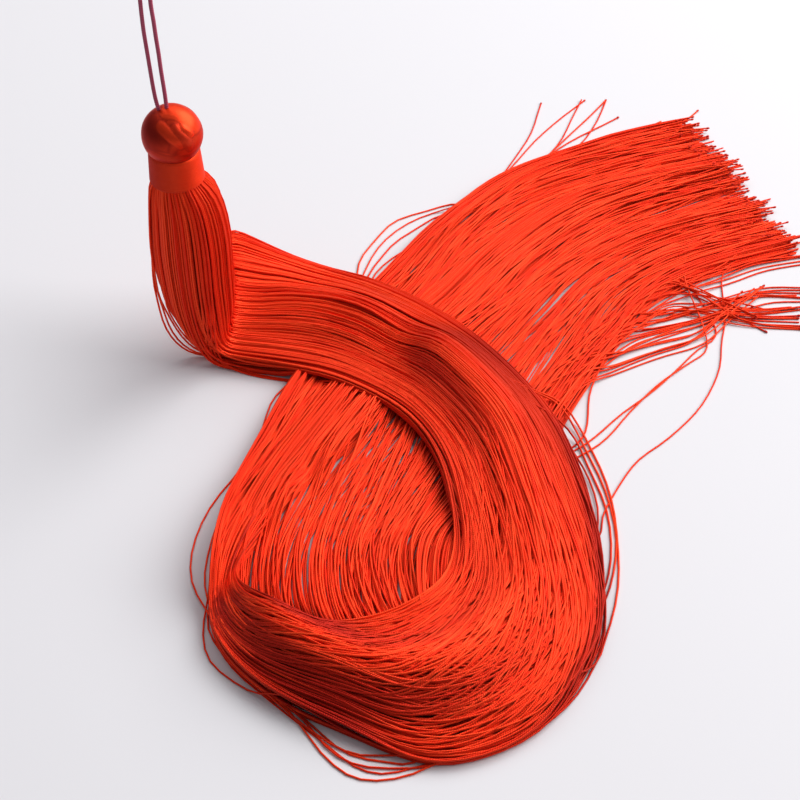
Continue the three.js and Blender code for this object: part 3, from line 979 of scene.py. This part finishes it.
# Colours that a piece's own marks mix between.
STRAND_DEEP = (0.80, 0.024, 0.006)
STRAND_BRIGHT = (0.99, 0.068, 0.016)
# painted shade in the grooves between a strand's plies
STRAND_GROOVE_SHADE = (0.74, 0.016, 0.005)
# painted shade for the steep sides of the lying bundle
STRAND_SIDE_SHADE = (0.34, 0.006, 0.004)
STRAND_TIP = (0.42, 0.010, 0.008)
# a lit and a shaded copy of the floss, mixed by its painted light
FLOSS_PAINTED_LIT = ((0.74, 0.028, 0.008), (0.99, 0.075, 0.018))
FLOSS_PAINTED_SHADE = ((0.16, 0.006, 0.006), (0.26, 0.009, 0.008))
# painted shade along the creases between floss bundles
FLOSS_CREASE_SHADE = (0.20, 0.005, 0.005)
CORD_PLY = (0.40, 0.045, 0.105)
# painted shade in the grooves between the cord's plies
CORD_GROOVE_SHADE = (0.20, 0.018, 0.045)


def strand_material(ply_twist):
    material, nodes, links, shader = new_material("red_silk_strands")
    twist = group_node(nodes, ply_twist)
    body = mix_colours(nodes, links, attribute_value(nodes, "tint"), STRAND_DEEP, STRAND_BRIGHT)
    # painted shade in the grooves between the plies
    groove_shaded = mix_colours(nodes, links, twist.outputs["Groove"], body, STRAND_GROOVE_SHADE)
    # painted shade on the steep sides of the lying bundle
    side_shaded = mix_colours(nodes, links, attribute_value(nodes, "side"), groove_shaded, STRAND_SIDE_SHADE)
    tipped = mix_colours(nodes, links, attribute_value(nodes, "tip"), side_shaded, STRAND_TIP)
    links.new(tipped, shader.inputs["Base Color"])
    shader.inputs["Metallic"].default_value = 0.48
    shader.inputs["Roughness"].default_value = 0.36
    shader.inputs["Specular IOR Level"].default_value = 0.55
    shader.inputs["Specular Tint"].default_value = (1.0, 0.3, 0.16, 1.0)
    shader.inputs["Sheen Weight"].default_value = 0.4
    shader.inputs["Sheen Roughness"].default_value = 0.4
    shader.inputs["Sheen Tint"].default_value = (1.0, 0.14, 0.06, 1.0)
    raise_fibres(nodes, links, shader, twist.outputs["Height"], 0.5, 0.0001)
    return material


def floss_material(fibre_streaks):
    material, nodes, links, shader = new_material("red_floss")
    streaks = group_node(nodes, fibre_streaks)
    # painted light and shade: a lit and a shaded copy of the floss, mixed by the painted light of each place
    body = mix_colours(nodes, links, streaks.outputs["Height"], *FLOSS_PAINTED_LIT)
    painted_shade_floss = mix_colours(nodes, links, streaks.outputs["Height"], *FLOSS_PAINTED_SHADE)
    shaded = mix_colours(nodes, links, attribute_value(nodes, "light"), painted_shade_floss, body)
    # painted shade along the ball's creases
    creased = mix_colours(nodes, links, attribute_value(nodes, "crease_shade"), shaded, FLOSS_CREASE_SHADE)
    links.new(creased, shader.inputs["Base Color"])
    shader.inputs["Metallic"].default_value = 0.6
    shader.inputs["Roughness"].default_value = 0.36
    shader.inputs["Specular IOR Level"].default_value = 0.4
    shader.inputs["Specular Tint"].default_value = (1.0, 0.3, 0.16, 1.0)
    raise_fibres(nodes, links, shader, streaks.outputs["Height"], 0.35, 0.0001)
    return material


def cord_material(ply_twist):
    material, nodes, links, shader = new_material("maroon_cord")
    twist = group_node(nodes, ply_twist)
    # painted shade in the grooves between the cord's plies
    body = mix_colours(nodes, links, twist.outputs["Groove"], CORD_PLY, CORD_GROOVE_SHADE)
    links.new(body, shader.inputs["Base Color"])
    shader.inputs["Roughness"].default_value = 0.5
    raise_fibres(nodes, links, shader, twist.outputs["Height"], 0.6, 0.0002)
    return material


# ------------------------------------------------------------------ the hanging loop
CORD_RINGS = 420
CORD_SIDES = 12
ENDS_IN = ((-0.3, 0, 1.6), (0.0, 0, 1.9))  # how far its two ends go on into the ball


def make_cord(material):
    """The hanging loop: one cord, with both ends held in the ball."""
    route = np.array([(x, AXIS[1], z) for x, z in LOOP_ROUTE])
    route = np.vstack([route[:1] - [ENDS_IN[0]], route, route[-1:] - [ENDS_IN[1]]])
    line = smooth_line(route, np.linspace(0, len(route) - 1, 1200))
    line = spaced(line, count=CORD_RINGS)
    radii = np.full((1, CORD_RINGS), CORD_D / 2)
    cord = make_threads("hanging_cord", line[None], radii, CORD_SIDES, np.ones(1), {}, material)
    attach(cord, "root")
    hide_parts("hanging_loop")


# ------------------------------------------------------------------ the wrapped head
BALL_ROWS = 112
BALL_COLUMNS = 164
BALL_FOOT_Z = 83.9
BALL_TOP_TILT = 0.012  # the small ring that closes its top, as an angle from the axis
BALL_SWELL = 0.3
WRAP_RISE = 0.9
UNDER_WRAPS = 22
UNDER_WRAP_REACH = 14.0
BLEND = 0.09  # over which one bundle's surface runs into the next
# Painted shade along the creases between bundles: its width in mm and how dark it gets.
CREASE_WIDTH = 0.07
CREASE_SHADE = 0.65
FIBRE_SHIFT = 7.3  # so that no two bundles have the same fibres
# The last bundles wound: the ways to the middle and along the run, half the width and half the length in
# mm, the rise in mm, and the painted light on the floss, from shaded at 0 to lit at 1.
LAST_WRAPS = [
    ((-0.63, -0.55, 0.55), (0.22, -0.80, -0.55), 6.2, 9.0, 0.50, 0.00),
    ((-0.84, -0.46, 0.30), (0.15, -0.71, -0.69), 4.0, 7.0, 0.45, 0.05),
    ((-0.08, -0.93, -0.37), (0.97, 0.01, -0.25), 2.6, 11.0, 0.50, 0.40),
    ((0.96, -0.28, 0.07), (0.26, 0.94, 0.24), 4.2, 9.0, 0.52, 0.60),
    ((0.50, -0.05, 0.86), (0.85, -0.16, -0.50), 5.4, 9.0, 0.78, 1.00),
    ((0.07, -0.82, 0.57), (0.75, -0.33, -0.57), 2.1, 6.5, 0.82, 0.72),
    ((0.50, -0.77, 0.39), (0.49, -0.11, -0.86), 1.9, 6.0, 0.90, 0.50),
    ((0.59, -0.60, 0.55), (0.70, 0.03, -0.72), 1.5, 3.0, 1.00, 0.95),
]


def wrap_bands(rng):
    """Floss bundles round the ball, the first wound first: middle, run, half sizes, rise and painted light.
    """
    bands = []
    for k in range(UNDER_WRAPS):
        middle = rng.normal(0, 1, 3)
        middle /= np.linalg.norm(middle)
        run = np.cross(middle, rng.normal(0, 1, 3))
        half = rng.uniform(2.2, 4.0)
        rise = WRAP_RISE * rng.uniform(0.2, 0.5)
        # painted light and shade, at random for the under bundles
        light = rng.uniform(0.45, 0.7)
        bands.append((middle, run / np.linalg.norm(run), half, UNDER_WRAP_REACH, rise, light))
    for middle, run, half, reach, rise, light in LAST_WRAPS:
        middle = np.array(middle) / np.linalg.norm(middle)
        run = np.array(run) - middle * np.dot(run, middle)
        bands.append((middle, run / np.linalg.norm(run), half, reach, rise, light))
    return bands


def make_ball(material):
    """The ball: the highest bundle at each place makes its surface, and the gap to the next its creases,
    where shade is painted; each bundle has its own painted light and shade.
    """
    rng = np.random.default_rng(SEED + 1)
    foot = math.acos((BALL_FOOT_Z - BALL_Z) / BALL_R)
    tilt = np.linspace(BALL_TOP_TILT, foot, BALL_ROWS)
    turn = np.arange(BALL_COLUMNS) / BALL_COLUMNS * 2 * math.pi
    way = np.stack(
        [
            np.sin(tilt)[:, None] * np.cos(turn)[None, :],
            np.sin(tilt)[:, None] * np.sin(turn)[None, :],
            np.broadcast_to(np.cos(tilt)[:, None], (BALL_ROWS, BALL_COLUMNS)),
        ],
        axis=-1,
    )
    levels = []
    fibres = []
    alongs = []
    lights = []
    for k, (middle, run, half, reach, rise, light) in enumerate(wrap_bands(rng)):
        side = np.cross(middle, run)
        around = np.arctan2(way @ run, way @ middle) * BALL_R
        across = np.arcsin(np.clip(way @ side, -1, 1)) * BALL_R
        across = across + 0.25 * np.sin(0.3 * around + k)
        profile = np.sqrt(np.clip(1 - (across / half) ** 2, 0, 1)) * np.exp(-((around / reach) ** 4))
        levels.append(BALL_R - WRAP_RISE + rise * profile)
        fibres.append(across + FIBRE_SHIFT * k)
        alongs.append(around)
        lights.append(np.full(across.shape, light))
    levels = np.array(levels)
    upper = np.argmax(levels, axis=0)[None]
    weights = np.exp((levels - levels.max(axis=0)) / BLEND)
    radius = levels.max(axis=0) + BLEND * np.log(weights.sum(axis=0)) + BALL_SWELL
    ordered = np.sort(levels, axis=0)
    # painted shade along the creases where two bundles meet
    crease_shade = np.exp(-(ordered[-1] - ordered[-2]) / CREASE_WIDTH)
    fibre = np.take_along_axis(np.array(fibres), upper, axis=0)[0]
    along = np.take_along_axis(np.array(alongs), upper, axis=0)[0]
    # painted light and shade, blended between the bundles
    light = (weights * np.array(lights)).sum(axis=0) / weights.sum(axis=0)
    vertices = (way * radius[..., None] + np.array([AXIS[0], AXIS[1], BALL_Z])).reshape(-1, 3)
    quads = grid_faces(BALL_ROWS, BALL_COLUMNS)[:, ::-1]
    top = np.arange(BALL_COLUMNS)[None, :]
    bottom = ((BALL_ROWS - 1) * BALL_COLUMNS + np.arange(BALL_COLUMNS))[None, ::-1]
    caps = np.vstack([top, bottom])
    corners = np.concatenate([quads.ravel(), caps.ravel()])
    fibre_way = np.stack([along.ravel()[corners], fibre.ravel()[corners]], axis=1)
    attributes = {"light": light.ravel(), "crease_shade": crease_shade.ravel() * CREASE_SHADE}
    ball = make_mesh("wrapped_ball", vertices, quads, caps, {"fibre_way": fibre_way}, attributes, material)
    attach(ball, "root")
    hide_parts("head_ball")


# ------------------------------------------------------------------ the neck binding
NECK_ROWS = 170
NECK_COLUMNS = 96
TURN_PITCH = 0.42
TURN_DEPTH = 0.1
NECK_TUCK = 1.3  # how far the spreading strands hide the lowest turns
NECK_TOP_Z = 85.7  # where the last turns close in under the ball
CROWN_RISE = 2.0
CROWN_IN = 1.3
NECK_CORNER = 0.5
TURN_LEVEL = 0.6  # of a turn's depth is inside the collar's own radius
NECK_PAINTED_LIGHT = (0.62, 0.38, 0.35)  # painted light: how lit the floss is painted, how far that changes round the collar, and from where


def make_neck(material):
    """The collar: fine turns of floss, rounded at its foot and closing in under the ball, painted lit on one
    side and shaded on the other.
    """
    low = NECK_LOW_Z + NECK_TUCK
    height = np.linspace(low, NECK_TOP_Z, NECK_ROWS)
    turn = np.arange(NECK_COLUMNS) / NECK_COLUMNS * 2 * math.pi
    share = (height - low) / (NECK_HIGH_Z - low)
    radius = NECK_LOW_R + (NECK_HIGH_R - NECK_LOW_R) * share
    foot = np.clip((height - low) / NECK_CORNER, 0, 1)
    radius = radius - NECK_CORNER * (1 - np.sqrt(1 - (1 - foot) ** 2))
    crown = np.clip((height - NECK_TOP_Z + CROWN_RISE) / CROWN_RISE, 0, 1)
    radius = radius - CROWN_IN * (1 - np.sqrt(1 - crown**2))
    phase = height[:, None] / TURN_PITCH * 2 * math.pi + turn[None, :]
    radius = radius[:, None] + TURN_DEPTH * (np.abs(np.sin(phase / 2)) - TURN_LEVEL)
    vertices = np.stack([
        AXIS[0] + radius * np.cos(turn)[None, :],
        AXIS[1] + radius * np.sin(turn)[None, :],
        np.broadcast_to(height[:, None], radius.shape),
    ], axis=-1).reshape(-1, 3)
    quads = grid_faces(NECK_ROWS, NECK_COLUMNS)
    bottom = np.arange(NECK_COLUMNS)[None, ::-1]
    top = ((NECK_ROWS - 1) * NECK_COLUMNS + np.arange(NECK_COLUMNS))[None, :]
    caps = np.vstack([bottom, top])
    corners = np.concatenate([quads.ravel(), caps.ravel()])
    around = np.broadcast_to(turn[None, :] * NECK_LOW_R, radius.shape)
    fibre_way = np.stack([around.ravel()[corners], vertices[corners, 2]], axis=1)
    # painted light and shade, lit on one side of the collar and shaded on the other
    painted_shine = NECK_PAINTED_LIGHT[0] + NECK_PAINTED_LIGHT[1] * np.cos(turn + NECK_PAINTED_LIGHT[2])
    light = np.broadcast_to(painted_shine[None, :], radius.shape).ravel()
    attributes = {"light": light, "crease_shade": light * 0}
    neck = make_mesh("neck_wrap", vertices, quads, caps, {"fibre_way": fibre_way}, attributes, material)
    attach(neck, "root")
    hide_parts("neck_binding")


# ------------------------------------------------------------------ the strands
# Beyond its end each strand has these rings for its tip, with their radius as a share of its own.
TIP_STEPS = np.array([0.25, 0.6, 1.0, 1.3, 1.45])
BLOB_SHAPE = np.array([1.15, 1.38, 1.35, 0.95, 0.4])
CUT_SHAPE = np.array([1.0, 1.02, 1.0, 0.85, 0.5])
BLOB_SHARE = 0.7
BLOB_DARK = 0.8
PRESSED = 0.13  # strands are pressed wider where the bundle is tight
PRESSED_RUN = (330, 430)  # from here to there along a strand they come back to their own width
PRESSED_NECK = 0.15  # and wider still where they hang
NECK_RUN = (80, 120)
SIZE_RANGE = (0.93, 1.06)
TINT = 0.55
TINT_SPREAD = 0.3


def make_skirt(material):
    """The skirt's strands with their tips, a piece for each hundred of them."""
    rng = np.random.default_rng(SEED + 2)
    strands, slope = make_strands()
    strands.sort(key=lambda s: (s["way"] == "over", s["order"]))
    for start in range(0, len(strands), STRANDS_A_PIECE):
        batch = strands[start : start + STRANDS_A_PIECE]
        lines = np.stack([ringed(s["line"], STRAND_RINGS) for s in batch])
        end_way = lines[:, -1] - lines[:, -2]
        end_way /= np.linalg.norm(end_way, axis=1, keepdims=True)
        ends = lines[:, -1:, :] + end_way[:, None, :] * TIP_STEPS[None, :, None]
        lines = np.concatenate([lines, ends], axis=1)
        blob = rng.random(len(batch)) < BLOB_SHARE
        shape = np.where(blob[:, None], BLOB_SHAPE[None, :], CUT_SHAPE[None, :])
        size = STRAND_R * rng.uniform(*SIZE_RANGE, (len(batch), 1))
        run = runs_of(lines)
        shape = np.concatenate([np.ones((len(batch), STRAND_RINGS)), shape], axis=1)
        tight = np.array(["loop" not in s for s in batch], float)[:, None]
        pressed = PRESSED * (1 - ease(run, *PRESSED_RUN))
        pressed = pressed + PRESSED_NECK * tight * (1 - ease(run, *NECK_RUN))
        radii = size * shape * (1 + pressed)
        lines[:, :, 2] = np.maximum(lines[:, :, 2], radii)
        tips = np.zeros_like(radii)
        tips[:, STRAND_RINGS:] = blob[:, None] * BLOB_DARK
        tints = np.clip(rng.normal(TINT, TINT_SPREAD, len(batch)), 0, 1)
        name = f"skirt_strands_{start // STRANDS_A_PIECE + 1}"
        # the side mark is painted shade on the steep sides of the lying bundle
        marks = {"tip": tips, "side": painted_side_shade(slope, lines)}
        piece = make_threads(name, lines, radii, STRAND_SIDES, tints, marks, material)
        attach(piece, "root")
        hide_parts("skirt")


# ------------------------------------------------------------------ surface and light
FLOOR_REACH = 4.0


def make_floor():
    """The pale surface that the skirt lies on."""
    material, nodes, links, shader = new_material("pale_surface")
    shader.inputs["Base Color"].default_value = (0.72, 0.715, 0.74, 1.0)
    shader.inputs["Roughness"].default_value = 0.7
    shader.inputs["Specular IOR Level"].default_value = 0.2
    mesh = bpy.data.meshes.new("floor")
    sides = ((-1, -1), (1, -1), (1, 1), (-1, 1))
    mesh.from_pydata([(FLOOR_REACH * x, FLOOR_REACH * y, 0) for x, y in sides], [], [(0, 1, 2, 3)])
    mesh.materials.append(material)
    floor = bpy.data.objects.new("floor", mesh)
    bpy.context.collection.objects.link(floor)


LAMP_COLOUR = (1.0, 0.985, 0.98)
MIDDLE = (0, 0, 20)  # where the lamps are aimed


def make_light(name, place, size, power):
    """A soft lamp at a place in the plan, its sides in metres and its power in watts."""
    data = bpy.data.lights.new(name, "AREA")
    data.shape = "RECTANGLE"
    data.size = size[0]
    data.size_y = size[1]
    data.energy = power
    data.color = LAMP_COLOUR
    light = bpy.data.objects.new(name, data)
    light.location = placed(place)
    way = Vector(placed(MIDDLE)) - light.location
    light.rotation_euler = way.to_track_quat("-Z", "Y").to_euler()
    bpy.context.collection.objects.link(light)


def make_lights():
    make_light("window", (1300, 560, 1250), (2.2, 1.7), 54.0)
    make_light("back_window", (-100, 1200, 1500), (2.6, 1.6), 15.0)
    world = bpy.data.worlds.new("studio")
    world.use_nodes = True
    sky = world.node_tree.nodes["Background"]
    sky.inputs["Color"].default_value = (0.93, 0.94, 1.0, 1.0)
    sky.inputs["Strength"].default_value = 0.25
    bpy.context.scene.world = world


# ------------------------------------------------------------------ the whole scene
bpy.context.scene.view_settings.view_transform = "Standard"
make_camera()
ply_twist = ply_twist_group()
fibre_streaks = fibre_streaks_group()
make_cord(cord_material(ply_twist))
floss = floss_material(fibre_streaks)
make_ball(floss)
make_neck(floss)
make_skirt(strand_material(ply_twist))
make_floor()
make_lights()
